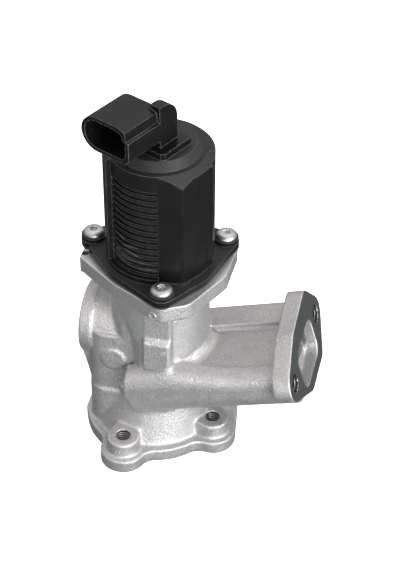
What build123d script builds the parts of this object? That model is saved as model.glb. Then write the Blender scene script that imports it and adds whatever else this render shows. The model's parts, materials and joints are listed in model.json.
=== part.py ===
from build123d import *
import os
from math import cos, radians, sin, sqrt

# Poppet valve for exhaust gas recirculation, driven by a solenoid and watched by a travel sensor.
# Millimetres. The origin is the valve axis at the base's mounting face, +Z runs up the stem,
# and +X is the way the side duct points in plan.

# --- Valve and travel -------------------------------------------------------------------------
STEM_D = 6.0
LIFT = 6.0                    # travel of the poppet off its seat
RUNNING_GAP = 0.04            # radial clearance of a sliding fit
CLEAR = 0.3                   # clearance round pieces that must not touch
SEAT_GAP = 0.05               # poppet face to seat at rest

# --- Housing: base ----------------------------------------------------------------------------
BASE_T = 6.5
BASE_R = 33.3
BASE_X, BASE_Y = -3.8, -1.0  # middle of the round base, off the valve axis
BASE_BOLT_R = 33.3  # from the middle of the base to each threaded hole
BASE_BOLT_ANGLES = (-101.7, -17.1, 118.0)
THREAD_MINOR_D = 6.8          # M8 core hole
BASE_EAR_R = 11.2
BASE_EAR_BLEND = 7.0
LUG_SPOT, LUG_R = (27.4, 7.5), 9.0  # lug that runs back from the right-hand ear
BOSS_R = 8.0
BOSS_TOP = 14.4
BASE_DRAFT_INSET = 3.5  # ledge left round the foot of the body
SHOULDER_Z = 27.0  # where the flared foot meets the upright body

# --- Housing: upright body --------------------------------------------------------------------
NECK_R = 23.0
PORT_Z = 57.5  # axis of the side port, which points along -X
PORT_R = 17.4
PORT_END = 36.0
PORT_BORE_D = 27.0
SIDE_X = 32.6  # flat-sided body under the port
SIDE_Y = 17.8
SIDE_EDGE_R = 8.0
SIDE_LEDGE_Z = 27.6
SIDE_LEDGE = 1.0
SIDE_TOP = 61.5
WEB_Z, WEB_Y = 29.0, 12.0     # web under the side port
CORNER_X = -8.5               # where the flat side meets the round body
DISC_PAD_R = 5.8
DISC_PAD_X, DISC_PAD_Z = -18.9, 47.5
PAD_PROUD = 0.8
FRONT_PAD_X0, FRONT_PAD_X1 = -2.2, 10.9
FRONT_PAD_Z0, FRONT_PAD_Z1 = 48.0, 68.6
FRONT_PAD_Y = 24.2

# --- Housing: top flange ----------------------------------------------------------------------
FLANGE_TOP = 98.6
FLANGE_T = 8.5
SCREW_PLACES = ((31.7, -74.2), (31.7, 29.4), (32.8, 174.0))    # radius and angle from the axis
ALU_EAR_R = 5.4
ALU_RIM_R = 28.6
TAB_X, TAB_Y = -33.2, -5.2
TAB_R = 4.4
TAB_HOLE = (-34.6, -4.5)
TAB_HOLE_D = 3.6
TAB_NOTCH_R = 2.4             # notch in the actuator's foot over the locating hole
SCREW_D = 5.0

# --- Housing: duct ----------------------------------------------------------------------------
DUCT_TILT = 16.5
DUCT_AXIS_Z = 39.2  # where the duct axis crosses the valve axis
DUCT_BACK = -11.5  # start and end along the duct axis
DUCT_FACE = 72.4
DUCT_BACK_Y, DUCT_FRONT_Y = 21.0, -28.0
DUCT_TOP_H, DUCT_BOTTOM_H = 11.8, -16.8
DUCT_WALL = 3.5
DUCT_STEP_Y = 6.0
DUCT_STEP = 3.4
DUCT_TOP_FALL = 1.3           # fall of the back top toward the step
DUCT_HOLE_Q = -1.65
DUCT_LIP_Y, DUCT_LIP_H = -24.5, 3.7
DUCT_FRONT_R = 10.0
DUCT_FLANGE_T = 8.8
JOIN_R = 5.0                  # cast fillet between the upright body and the duct
DUCT_BOLT_SPACING = 50.7
DUCT_BOLT_D = 8.6
DUCT_EAR_R = 8.8
OPENING_W, OPENING_H = 31.0, 21.4
OPENING_R = 6.0
OPENING_FRONT = -18.5         # front of the way where it passes the front bolt hole
OPENING_Y, OPENING_Q = 0.7, -5.7

# --- Actuator ---------------------------------------------------------------------------------
GASKET_T = 0.8
ACT_FLANGE_T = 3.0
ACT_EAR_R = 5.9
ACT_RIM_R = 27.4
ACT_R = 24.9
RING_R = 20.0
ROOF_FALL = 4.6               # roof's fall to the block's outer corner
RIB_DOWN = 8.4                # first rib below the top
RIB_R = 22.5
RIB_DEPTH = 1.5
RIB_PITCH = 3.3
RIB_COUNT = 14
RIB_FROM, RIB_TO = -144.0, -77.0
FLAT_ANGLE = -26.5            # outward direction of the flat beside the ribs
FLAT_DIST = 24.4
FLAT_LEFT, FLAT_RIGHT = 12.0, 8.3
COLLAR_H = 2.0
COLLAR_R = 5.7

# --- Cap and connector ------------------------------------------------------------------------
CAP_H = 4.2
CAP_TOP_R = 17.0
PLINTH_H = 3.2
PLUG_RISE = 9.9               # socket's middle above the plinth
PLUG_ANGLE = -115.5  # the way the socket's mouth points
PLUG_W, PLUG_H = 26.4, 17.0
PLUG_LEN = 23.0
PLUG_MOUTH = 28.7  # valve axis to the mouth's plane
PLUG_WALL = 1.8
PLUG_DEPTH = 16.0
PIN_PITCH = 3.6
PIN_COUNT = 5
PIN_W, PIN_T = 1.5, 0.64
PIN_TIP_BACK = 9.0  # pin tips sit this far inside the mouth
PLUG_SIDE = -5.2  # socket's middle, across its own axis, from the valve axis
NECK_FRONT = 8.2  # front and right faces of the neck, from the valve axis
NECK_RIGHT = 8.0
NECK_LEFT, NECK_STEP = -14.0, 2.6
NECK_REAR = -3.3
NECK_HIGH, NECK_LOW = 1.6, -6.5    # neck's two tops, from the socket's top
NECK_REAR_R = 9.0
PLINTH_FRONT, PLINTH_BACK = 12.0, -7.0
PLINTH_RIGHT, PLINTH_LEFT = 12.7, -12.0

# --- Gas way and valve ------------------------------------------------------------------------
BASE_BORE_R, BASE_BORE_L = 16.0, 10.0
CHAMBER_R = 17.0
CHAMBER_TOP = 84.0
SEAT_Z0, SEAT_Z1 = 10.5, 15.0
SEAT_BORE_R = 12.0
SEAT_CONE = 1.2
SEAT_R = 15.4                 # seat ring's outside, pressed in from the chamber
SEAT_RISE = 1.5               # chamber floor above the seat
POPPET_R = 14.0
POPPET_T = 3.0
GUIDE_R = 5.5
GUIDE_Z0 = 74.0
GUIDE_BOSS_R, GUIDE_BOSS_Z0 = 8.5, 76.0
SCRAPER_T = 1.5

# --- Solenoid ---------------------------------------------------------------------------------
CAVITY_R = 19.4
PLATE_T = 4.0
TOP_PLATE_T = 3.5
COIL_H = 41.0  # between the two steel plates
SLEEVE_T = 1.25
YOKE_T = 1.8
BOBBIN_WALL = 1.2
BOBBIN_FLANGE = 1.5
BOBBIN_FLANGE_R = 17.2
WINDING_R = 16.6
ARMATURE_R = 8.6
ARMATURE_RISE, ARMATURE_H = 1.9, 22.0  # armature above the lower plate at rest
SPRING_POCKET_R, SPRING_POCKET_D = 6.5, 10.0
CORE_GAP = 7.5                # armature top to fixed core at rest
CORE_POCKET_D = 3.0
SPRING_MEAN_R, SPRING_WIRE_R, SPRING_TURNS = 5.2, 0.55, 6
CLIP_T, CLIP_R = 1.0, 4.6
TERMINAL_R = 12.6
TERMINAL_W, TERMINAL_T = 2.0, 0.8

# --- Travel sensor ----------------------------------------------------------------------------
SPIGOT_R = 16.2               # cap spigot and the bore that takes it
SPIGOT_L = 11.7
SPIGOT_BORE_R = 13.6
RING_SEAL_R = 0.8
SENSOR_WELL_R = 6.0
PLUNGER_R = 1.8
CARRIER_R = 4.4
CARRIER_RISE, CARRIER_T = 4.1, 2.4   # carrier above the solenoid at rest
SENSOR_SPRING_R, SENSOR_WIRE_R, SENSOR_TURNS = 3.1, 0.3, 5
TRACK_W, TRACK_T = 7.0, 1.0
TRACK_DIST = 5.6

BOTTOM = FLANGE_TOP + GASKET_T            # actuator's mounting face
PLATE_TOP = BOTTOM + PLATE_T
COIL_TOP = PLATE_TOP + COIL_H
CORE_TOP = COIL_TOP + TOP_PLATE_T
ARMATURE_Z0 = PLATE_TOP + ARMATURE_RISE
ARMATURE_TOP = ARMATURE_Z0 + ARMATURE_H
CORE_Z0 = ARMATURE_TOP + CORE_GAP
STEM_TOP = CORE_TOP - 1.5
CARRIER_Z0 = CORE_TOP + CARRIER_RISE
WELL_TOP_WIDE = CARRIER_Z0 + CARRIER_T + LIFT
PLUNGER_TOP = WELL_TOP_WIDE - 2.2
SLEEVE_R = ARMATURE_R + RUNNING_GAP
STEM_R = STEM_D / 2
ACT_DECK = BOTTOM + ACT_FLANGE_T
ACT_TOP = CORE_TOP + SPIGOT_L
ACT_SHOULDER_Z = ACT_TOP - ROOF_FALL
RIB_TOP_Z = ACT_TOP - RIB_DOWN
CAP_TOP = ACT_TOP + CAP_H
SENSOR_ROOF = CAP_TOP + 1.2
PLINTH_TOP = CAP_TOP + PLINTH_H
PLUG_Z = PLINTH_TOP + PLUG_RISE


def polar(radius, angle, z=0.0, x=0.0, y=0.0):
    """A place at a radius and an angle in plan."""
    return (x + radius * cos(radians(angle)), y + radius * sin(radians(angle)), z)


def rod(radius, z0, z1, x=0.0, y=0.0):
    """A plain upright cylinder between two heights."""
    return Pos(x, y, (z0 + z1) / 2) * Cylinder(radius, z1 - z0)


def tube(outer, inner, z0, z1):
    return rod(outer, z0, z1) - rod(inner, z0 - 1, z1 + 1)


def slab(x0, x1, y0, y1, z0, z1):
    return Pos((x0 + x1) / 2, (y0 + y1) / 2, (z0 + z1) / 2) * Box(x1 - x0, y1 - y0, z1 - z0)


def disc(radius, place):
    return Pos(place[0], place[1]) * Circle(radius)


def hull(*rounds):
    """The outline of a belt stretched round several discs."""
    return make_hull([edge for item in rounds for edge in item.edges()])


def ring_sector(inner, outer, start, stop):
    """Plan sector of a ring, from one angle to another."""
    middle = (start + stop) / 2
    inner_arc = ThreePointArc(polar(inner, start), polar(inner, middle), polar(inner, stop))
    outer_arc = ThreePointArc(polar(outer, start), polar(outer, middle), polar(outer, stop))
    sides = [Line(inner_arc @ 0, outer_arc @ 0), Line(inner_arc @ 1, outer_arc @ 1)]
    return make_face([inner_arc, outer_arc, *sides])


def turned(*points):
    """A solid turned about the valve axis from (radius, height) points."""
    outline = make_face(Plane.XZ * Polyline(*points, close=True))
    return revolve(outline, Axis.Z, 360)


SCREW_SPOTS = [polar(radius, angle) for radius, angle in SCREW_PLACES]
BASE_SPOTS = [polar(BASE_BOLT_R, angle, 0, BASE_X, BASE_Y) for angle in BASE_BOLT_ANGLES]
TILT = radians(DUCT_TILT)
DUCT_PLANE = Plane(origin=(0, 0, DUCT_AXIS_Z), x_dir=(0, 1, 0), z_dir=(cos(TILT), 0, sin(TILT)))
PLUG_OUT = Vector(*polar(1, PLUG_ANGLE))
PLUG_ACROSS = Vector(*polar(1, PLUG_ANGLE + 90))
PLUG_PLANE = Plane(origin=PLUG_OUT * PLUG_MOUTH + PLUG_ACROSS * PLUG_SIDE + Vector(0, 0, PLUG_Z),
                   x_dir=PLUG_ACROSS, z_dir=PLUG_OUT)
PLAN = Plane(origin=(0, 0, 0), x_dir=PLUG_OUT, z_dir=(0, 0, 1))     # x out of the socket, y across it


# --- Housing ----------------------------------------------------------------------------------
def base_block():
    """Round base with three threaded bosses and a flared foot."""
    outline = disc(BASE_R, (BASE_X, BASE_Y))
    for spot in BASE_SPOTS:
        outline += disc(BASE_EAR_R, spot)
    outline += hull(disc(BASE_EAR_R, BASE_SPOTS[1]), disc(LUG_R, LUG_SPOT))
    outline = fillet(outline.vertices(), BASE_EAR_BLEND)
    block = extrude(outline, BASE_T)
    foot_r = BASE_R - BASE_DRAFT_INSET
    foot = loft([Pos(BASE_X, BASE_Y, BASE_T - 1) * Circle(foot_r),
                 Pos(0, 0, SHOULDER_Z) * Circle(NECK_R + 1.2)])
    block += foot + rod(NECK_R + 1.2, SHOULDER_Z - 0.5, SHOULDER_Z + 4)
    for spot in BASE_SPOTS:
        x, y = spot[0], spot[1]
        block += rod(BOSS_R, 1, BOSS_TOP, x, y)
        reach = extrude(hull(disc(BOSS_R, spot), disc(BOSS_R, (x * 0.7, y * 0.7))), BOSS_TOP - 1)
        block += Pos(0, 0, 1) * reach
    return block


def side_body():
    """Flat-sided lower body under the side port, with round upright edges and a web to the port."""
    plan = Pos(-SIDE_X / 2, 0) * RectangleRounded(SIDE_X, 2 * SIDE_Y, SIDE_EDGE_R)
    body = extrude(plan, SIDE_TOP)
    lower = Pos(-SIDE_X / 2, 0) * RectangleRounded(SIDE_X, 2 * (SIDE_Y + SIDE_LEDGE), SIDE_EDGE_R)
    body += extrude(lower, SIDE_LEDGE_Z)
    web = Polyline((-PORT_END, PORT_Z - PORT_R + 4), (-SIDE_X, WEB_Z), (0, WEB_Z), (0, PORT_Z - PORT_R + 4),
                   close=True)
    body += extrude(Plane.XZ * make_face(web), WEB_Y, both=True)
    return body + Pos(DISC_PAD_X, -SIDE_Y, DISC_PAD_Z) * Rot(90, 0, 0) * Cylinder(DISC_PAD_R, 2 * PAD_PROUD)


def corner_cut():
    """Hollow between the flat side and the round body, running out toward the top flange."""
    low = Polyline((-SIDE_X - 10, -SIDE_Y), (CORNER_X, -SIDE_Y), (CORNER_X + 4, -NECK_R), (CORNER_X + 4, -40),
                   (-SIDE_X - 10, -40), close=True)
    high = Polyline((-SIDE_X - 10, -SIDE_Y - 1), (CORNER_X - 5.5, -SIDE_Y - 1), (CORNER_X - 4, -NECK_R - 1),
                    (CORNER_X - 4, -40), (-SIDE_X - 10, -40), close=True)
    cut = Pos(0, 0, SIDE_LEDGE_Z) * extrude(make_face(low), SIDE_TOP - SIDE_LEDGE_Z)
    return cut + loft([Pos(0, 0, SIDE_TOP) * make_face(low), Pos(0, 0, SIDE_TOP + 20) * make_face(high)])


def duct_section():
    """Section of the side duct: flat back top, a step, a leaning front and a large round below."""
    step = DUCT_TOP_H - DUCT_TOP_FALL
    points = [(DUCT_BACK_Y, DUCT_TOP_H), (DUCT_STEP_Y, step), (DUCT_STEP_Y, step - DUCT_STEP),
              (DUCT_LIP_Y, DUCT_LIP_H), (DUCT_FRONT_Y, DUCT_LIP_H - 6), (DUCT_FRONT_Y, DUCT_BOTTOM_H),
              (DUCT_BACK_Y, DUCT_BOTTOM_H)]
    radii = [3.0, 0.8, 0.8, 4.0, 1.5, DUCT_FRONT_R, 7.0]
    return make_face(FilletPolyline(*points, radius=radii, close=True))


def duct_way():
    """Gas way inside the duct's walls."""
    low, front, back = DUCT_BOTTOM_H + DUCT_WALL, DUCT_FRONT_Y + DUCT_WALL, DUCT_BACK_Y - DUCT_WALL
    shelf = DUCT_TOP_H - DUCT_TOP_FALL - DUCT_WALL
    points = [(back, DUCT_TOP_H - DUCT_WALL), (DUCT_STEP_Y + 2, shelf), (DUCT_STEP_Y - 4, shelf - DUCT_STEP),
              (front + 5, DUCT_LIP_H - DUCT_WALL), (front, DUCT_LIP_H - 8), (front, low), (back, low)]
    return make_face(FilletPolyline(*points, radius=[2.5, 2, 2, 2.5, 2, 6, 4], close=True))


def duct_flange():
    """Outline of the duct's two-bolt flange, round the bolt holes and the corners of the opening."""
    corners = [disc(5, (-9, 9.8)), disc(6, (17.5, 11.2)), disc(6, (-5, -16.8)), disc(6, (16.5, -16.5))]
    ears = [disc(DUCT_EAR_R, (side * DUCT_BOLT_SPACING / 2, DUCT_HOLE_Q)) for side in (-1, 1)]
    return hull(*corners, *ears)


def duct_block():
    duct = extrude(DUCT_PLANE.offset(DUCT_BACK) * duct_section(), DUCT_FACE - DUCT_BACK - 1)
    return duct + extrude(DUCT_PLANE.offset(DUCT_FACE - DUCT_FLANGE_T) * duct_flange(), DUCT_FLANGE_T)


def duct_cuts():
    """Gas way along the duct, its opening and the two bolt holes in its flange."""
    flange_back = DUCT_FACE - DUCT_FLANGE_T
    cuts = extrude(DUCT_PLANE * duct_way(), flange_back - 6)
    reach = DUCT_BACK_Y - OPENING_FRONT
    throat = duct_way() & Pos(OPENING_FRONT + reach / 2, 0) * Rectangle(reach, 3 * reach)
    cuts += extrude(DUCT_PLANE.offset(flange_back - 7) * throat, 9.5)
    opening = Pos(OPENING_Y, OPENING_Q) * RectangleRounded(OPENING_W, OPENING_H, OPENING_R)
    cuts += extrude(DUCT_PLANE.offset(flange_back + 2) * opening, DUCT_FLANGE_T)
    for side in (-1, 1):
        hole = Pos(side * DUCT_BOLT_SPACING / 2, DUCT_HOLE_Q) * Circle(DUCT_BOLT_D / 2)
        cuts += extrude(DUCT_PLANE.offset(flange_back) * hole, DUCT_FLANGE_T + 1)
    return cuts


def top_flange():
    """Three-eared flange that carries the actuator, with a locating tab and a thick front corner."""
    ears = [disc(ALU_EAR_R, spot) for spot in SCREW_SPOTS]
    corners = [disc(TAB_R, (TAB_X, TAB_Y)), disc(8.2, (15, -24)), disc(6.5, (26.3, -4))]
    outline = hull(*ears, *corners, Circle(ALU_RIM_R))
    flange = Pos(0, 0, FLANGE_TOP - FLANGE_T) * extrude(outline, FLANGE_T)
    flare = Pos(0, 0, FLANGE_TOP - FLANGE_T - 3.5) * Cone(NECK_R, NECK_R + 3, 7)
    return flange + flare


def side_port():
    across = Rot(0, -90, 0)
    port = Pos(0, 0, PORT_Z) * across * extrude(Circle(PORT_R - 0.8), PORT_END)
    rim = Pos(-PORT_END + 6, 0, PORT_Z) * across * extrude(Circle(PORT_R), 6)
    return port + rim


def join_skirt():
    """Sloping web round the front of the upright body, where it stands on the duct's leaning top."""
    inner_q = DUCT_TOP_H - DUCT_TOP_FALL - DUCT_STEP
    lean = (inner_q - DUCT_LIP_H) / (DUCT_STEP_Y - DUCT_LIP_Y)
    normal = Vector(-sin(TILT), -lean, cos(TILT)).normalized()
    uphill = Vector(0, 0, 1) - normal * normal.Z
    height = DUCT_AXIS_Z + (inner_q - lean * DUCT_STEP_Y) / cos(TILT)
    rings = []
    for radius, rise in ((NECK_R + JOIN_R, -0.5), (NECK_R + JOIN_R * 0.35, JOIN_R * 0.35),
                         (NECK_R - 0.2, JOIN_R * 1.1)):
        place = Plane(origin=(0, 0, height + rise), x_dir=uphill, z_dir=normal)
        rings.append(place * Ellipse(radius / normal.Z, radius))
    skirt = loft(rings[:2], ruled=True) + loft(rings[1:], ruled=True)
    return skirt & slab(CORNER_X + 5, NECK_R + 12, DUCT_LIP_Y - 1, DUCT_STEP_Y - 1,
                        DUCT_AXIS_Z - 5, FLANGE_TOP - FLANGE_T)


def valve_housing():
    """Die-cast body: base, upright chamber, side port, side duct and top flange in one."""
    body = side_body() + rod(NECK_R, BASE_T, FLANGE_TOP - 1) - corner_cut()
    body += duct_block() + join_skirt() + base_block() + side_port() + top_flange()
    body += slab(FRONT_PAD_X0, FRONT_PAD_X1, -FRONT_PAD_Y + 0.9, 0,
                 FRONT_PAD_Z0 - 4, FLANGE_TOP - FLANGE_T + 1)
    body += slab(FRONT_PAD_X0, FRONT_PAD_X1, -FRONT_PAD_Y, 0, FRONT_PAD_Z0, FRONT_PAD_Z1)
    body -= rod(BASE_BORE_R, -1, BASE_BORE_L) + rod(SEAT_R, 0, SEAT_Z1 + SEAT_RISE)
    body -= rod(CHAMBER_R, SEAT_Z1 + SEAT_RISE, CHAMBER_TOP)
    body -= Pos(0, 0, PORT_Z) * Rot(0, -90, 0) * extrude(Circle(PORT_BORE_D / 2), PORT_END + 5)
    body -= duct_cuts()
    body += rod(GUIDE_BOSS_R, GUIDE_BOSS_Z0, FLANGE_TOP - 1)
    body -= rod(GUIDE_R, GUIDE_Z0 - 5, FLANGE_TOP + 1)
    for spot in BASE_SPOTS:
        body -= rod(THREAD_MINOR_D / 2, -1, BOSS_TOP + 1, spot[0], spot[1])
    for spot in SCREW_SPOTS:
        body -= rod(SCREW_D / 2, FLANGE_TOP - FLANGE_T - 5, FLANGE_TOP + 1, spot[0], spot[1])
    body -= rod(TAB_HOLE_D / 2, FLANGE_TOP - 6, FLANGE_TOP + 1, *TAB_HOLE)
    return body


# --- Valve and its guide ----------------------------------------------------------------------
def seat_ring():
    cone_z = SEAT_Z1 - SEAT_CONE
    return turned((SEAT_BORE_R, SEAT_Z0), (SEAT_R, SEAT_Z0), (SEAT_R, SEAT_Z1),
                  (SEAT_BORE_R + SEAT_CONE, SEAT_Z1), (SEAT_BORE_R, cone_z))


def poppet_head():
    """Mushroom head: 45 degree sealing face, dished back and a hub on the stem."""
    gap = SEAT_GAP * sqrt(2)
    low = SEAT_Z1 - SEAT_CONE
    face_r = SEAT_BORE_R + SEAT_CONE
    return turned((STEM_R, low - 1.6), (SEAT_BORE_R - 1.4, low - 1.6), (SEAT_BORE_R - CLEAR, low - 0.6),
                  (SEAT_BORE_R - CLEAR, low - CLEAR + gap), (face_r + 0.4, SEAT_Z1 + 0.4 + gap),
                  (POPPET_R, SEAT_Z1 + 1.0), (POPPET_R, SEAT_Z1 + POPPET_T), (STEM_R + 3, SEAT_Z1 + POPPET_T + 2),
                  (STEM_R + 1.5, SEAT_Z1 + POPPET_T + 6), (STEM_R, SEAT_Z1 + POPPET_T + 6))


def valve_stem():
    stem = rod(STEM_R, SEAT_Z1 - SEAT_CONE - 1.6, STEM_TOP)
    return stem - clip_groove()


def clip_groove():
    return tube(STEM_R + 1, STEM_R - 0.6, ARMATURE_Z0 - CLIP_T, ARMATURE_Z0)


def stem_clip():
    """Open retaining ring in the stem's groove, under the armature."""
    ring = tube(CLIP_R, STEM_R - 0.6, ARMATURE_Z0 - CLIP_T, ARMATURE_Z0)
    return ring - slab(0, CLIP_R + 1, -2, 2, ARMATURE_Z0 - 2, ARMATURE_Z0 + 1)


def stem_guide():
    return tube(GUIDE_R, STEM_R + RUNNING_GAP, GUIDE_Z0, FLANGE_TOP)


def scraper_ring():
    return tube(GUIDE_R + 1.2, STEM_R + RUNNING_GAP, GUIDE_Z0 - SCRAPER_T, GUIDE_Z0)


def stem_seal():
    """Lipped seal that stands in the lower steel plate round the stem."""
    inner = STEM_R + RUNNING_GAP
    return turned((inner, BOTTOM), (GUIDE_R + 0.7, BOTTOM), (GUIDE_R + 0.7, PLATE_TOP - 0.5),
                  (inner + 1.4, PLATE_TOP - 0.5), (inner + 1.2, BOTTOM + 1.4), (inner + 0.4, BOTTOM + 2.6),
                  (inner, BOTTOM + 2.6))


# --- Solenoid ---------------------------------------------------------------------------------
def flange_outline():
    """Outline of the actuator's foot: three ears round the rim, fuller beside the flat."""
    outline = hull(*[disc(ACT_EAR_R, spot) for spot in SCREW_SPOTS], Circle(ACT_RIM_R), disc(18, (9, -8)))
    return outline - disc(TAB_NOTCH_R, TAB_HOLE)


def actuator_gasket():
    outline = flange_outline() - Circle(GUIDE_R + 3)
    for spot in SCREW_SPOTS:
        outline -= disc(SCREW_D / 2, spot)
    return Pos(0, 0, FLANGE_TOP) * extrude(outline, GASKET_T)


def flat_point(out, across):
    """Plan point measured out from the axis toward the flat and across it."""
    angle = radians(FLAT_ANGLE)
    return (out * cos(angle) - across * sin(angle), out * sin(angle) + across * cos(angle))


def barrel_plan():
    """Plan of the barrel: round, with a flat-faced block beside the ribbed sector."""
    left, right = flat_point(FLAT_DIST, -FLAT_LEFT), flat_point(FLAT_DIST, FLAT_RIGHT)
    rib_end, beyond = polar(RIB_R, RIB_TO), polar(ACT_R + 6, RIB_TO + 12)
    plan = Circle(ACT_R)
    plan -= make_face(Polyline(rib_end, left, beyond, polar(ACT_R + 6, RIB_TO), close=True))
    plan += make_face(Polyline((0, 0), rib_end, left, right, flat_point(0, FLAT_RIGHT), close=True))
    return plan


def roof_cut():
    """What the sloping roof leaves off over the ribs' end and the block."""
    sector = Pos(0, 0, ACT_SHOULDER_Z - 8) * extrude(ring_sector(RING_R + 1, ACT_R + 12, RIB_TO, 8), 20)
    fall = (ACT_TOP - ACT_SHOULDER_Z) / (sqrt(FLAT_DIST ** 2 + FLAT_LEFT ** 2) - RING_R - 2)
    reach = 16
    return sector - turned((0, BOTTOM), (RING_R + 2 + reach, BOTTOM), (RING_R + 2 + reach, ACT_TOP - fall * reach),
                           (RING_R + 2, ACT_TOP), (0, ACT_TOP))


def actuator_housing():
    """Moulded barrel with a ribbed sector, a flat-faced block, a three-eared foot and collars."""
    body = Pos(0, 0, BOTTOM) * extrude(barrel_plan(), ACT_TOP - BOTTOM)
    body -= turned((ACT_R - 1, ACT_TOP), (ACT_R + 6, ACT_TOP), (ACT_R + 6, ACT_TOP - 7)) + roof_cut()
    body += Pos(0, 0, BOTTOM) * extrude(flange_outline(), ACT_FLANGE_T)
    for spot in SCREW_SPOTS:
        body += rod(COLLAR_R, BOTTOM, ACT_DECK + COLLAR_H, spot[0], spot[1])
    rib_bottom = RIB_TOP_Z - RIB_COUNT * RIB_PITCH
    recess = extrude(ring_sector(RIB_R, ACT_R + 3, RIB_FROM, RIB_TO), ACT_TOP - rib_bottom)
    body -= Pos(0, 0, rib_bottom) * recess
    groove = extrude(ring_sector(RIB_R - RIB_DEPTH, RIB_R + 4, RIB_FROM + 2, RIB_TO), RIB_PITCH * 0.55)
    for i in range(RIB_COUNT):
        body -= Pos(0, 0, rib_bottom + (i + 0.45) * RIB_PITCH) * groove
    body -= rod(CAVITY_R, BOTTOM - 1, CORE_TOP + 0.5) + rod(SPIGOT_R, CORE_TOP, ACT_TOP + 1)
    for spot in SCREW_SPOTS:
        body -= rod(SCREW_D / 2 + 1.2, BOTTOM - 1, ACT_DECK + COLLAR_H + 1, spot[0], spot[1])
    return body


def compression_sleeve(spot):
    outer = rod(SCREW_D / 2 + 1.2, BOTTOM, ACT_DECK + COLLAR_H, spot[0], spot[1])
    return outer - rod(SCREW_D / 2, BOTTOM - 1, ACT_DECK + COLLAR_H + 1, spot[0], spot[1])


def actuator_screw(spot):
    """Button-head screw with a six-lobed driver recess."""
    seat = ACT_DECK + COLLAR_H
    head = turned((0, seat), (5.0, seat), (5.0, seat + 0.7), (4.2, seat + 1.9), (2.8, seat + 2.7), (0, seat + 2.7))
    shank = rod(SCREW_D / 2, FLANGE_TOP - FLANGE_T + 1, seat + 0.5)
    lobes = Circle(1.35)
    for i in range(6):
        lobes += Pos(*polar(1.3, 60 * i)) * Circle(0.42)
    socket = Pos(0, 0, seat + 1.0) * extrude(lobes, 3)
    return Pos(spot[0], spot[1]) * (head + shank - socket)


def bottom_plate():
    return tube(CAVITY_R, GUIDE_R + 0.7, BOTTOM, PLATE_TOP)


def yoke_tube():
    return tube(CAVITY_R, CAVITY_R - YOKE_T, PLATE_TOP, COIL_TOP)


def guide_sleeve():
    return tube(SLEEVE_R + SLEEVE_T, SLEEVE_R, PLATE_TOP, COIL_TOP)


def terminal_slots(gap):
    """Upright blades for the two coil terminals, with a gap all round."""
    blades = Part()
    for side in (-1, 1):
        place = Rot(0, 0, PLUG_ANGLE + 180 + side * 14) * Pos(TERMINAL_R, 0, 0)
        blades += place * slab(-TERMINAL_T / 2 - gap, TERMINAL_T / 2 + gap, -TERMINAL_W / 2 - gap,
                               TERMINAL_W / 2 + gap, COIL_TOP - BOBBIN_FLANGE, CORE_TOP + 6)
    return blades


def coil_bobbin():
    inner = SLEEVE_R + SLEEVE_T
    spool = tube(inner + BOBBIN_WALL, inner, PLATE_TOP, COIL_TOP)
    spool += tube(BOBBIN_FLANGE_R, inner, PLATE_TOP, PLATE_TOP + BOBBIN_FLANGE)
    spool += tube(BOBBIN_FLANGE_R, inner, COIL_TOP - BOBBIN_FLANGE, COIL_TOP)
    return spool - terminal_slots(0)


def coil_winding():
    inner = SLEEVE_R + SLEEVE_T + BOBBIN_WALL
    return tube(WINDING_R, inner, PLATE_TOP + BOBBIN_FLANGE, COIL_TOP - BOBBIN_FLANGE)


def coil_terminals():
    return terminal_slots(0)


def top_plate():
    return tube(CAVITY_R, ARMATURE_R, COIL_TOP, CORE_TOP) - terminal_slots(0.3)


def fixed_core():
    core = rod(ARMATURE_R, CORE_Z0, CORE_TOP) + rod(ARMATURE_R + 2, CORE_TOP, CORE_TOP + 1.2)
    core -= rod(STEM_R + CLEAR, CORE_Z0 - 1, CORE_TOP + 3)
    return core - rod(SPRING_POCKET_R, CORE_Z0 - 1, CORE_Z0 + CORE_POCKET_D)


def armature():
    iron = rod(ARMATURE_R, ARMATURE_Z0, ARMATURE_TOP) - rod(STEM_R, ARMATURE_Z0 - 1, ARMATURE_TOP + 1)
    return iron - rod(SPRING_POCKET_R, ARMATURE_TOP - SPRING_POCKET_D, ARMATURE_TOP + 1)


def coil_spring(mean_r, wire_r, turns, z0, z1):
    """Open helix whose wire just reaches both seats."""
    height = z1 - z0 - 2 * wire_r
    path = Pos(0, 0, z0 + wire_r) * Helix(pitch=height / turns, height=height, radius=mean_r)
    start = Plane(origin=path @ 0, z_dir=path % 0)
    return sweep(start * Circle(wire_r), path=path)


# --- Cap, socket and sensor -------------------------------------------------------------------
def socket_outline(inset=0.0):
    """Socket section, looking into the mouth: round left end, stepped right end."""
    w, h = PLUG_W / 2 - inset, PLUG_H / 2 - inset
    round_x = -PLUG_W / 2 + PLUG_H / 2
    top = Line((round_x, h), (w - 5.6, h))
    shoulder = Line(top @ 1, (w - 1.9, h - 1.4))
    side = Line(shoulder @ 1, (w - 1.4, 2.8))
    step = Line(side @ 1, (w, 2.4))
    low = Line(step @ 1, (w, -h + 2))
    corner = Line(low @ 1, (w - 2, -h))
    bottom = Line(corner @ 1, (round_x, -h))
    left = ThreePointArc(bottom @ 1, (round_x - h, 0), top @ 0)
    return make_face([top, shoulder, side, step, low, corner, bottom, left])


def pin_columns():
    middle = -0.8
    return [middle + (i - (PIN_COUNT - 1) / 2) * PIN_PITCH for i in range(PIN_COUNT)]


def connector_pins():
    """Flat blades along the socket, bent down into the neck."""
    pins = Part()
    back = NECK_FRONT - 5.0
    for u in pin_columns():
        side = PLUG_SIDE + u
        blade = slab(back, PLUG_MOUTH - PIN_TIP_BACK, side - PIN_W / 2, side + PIN_W / 2,
                     PLUG_Z - PIN_T / 2, PLUG_Z + PIN_T / 2)
        leg = slab(back, back + PIN_T, side - PIN_W / 2, side + PIN_W / 2, PLINTH_TOP, PLUG_Z)
        pins += PLAN * (blade + leg)
    return pins


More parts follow.
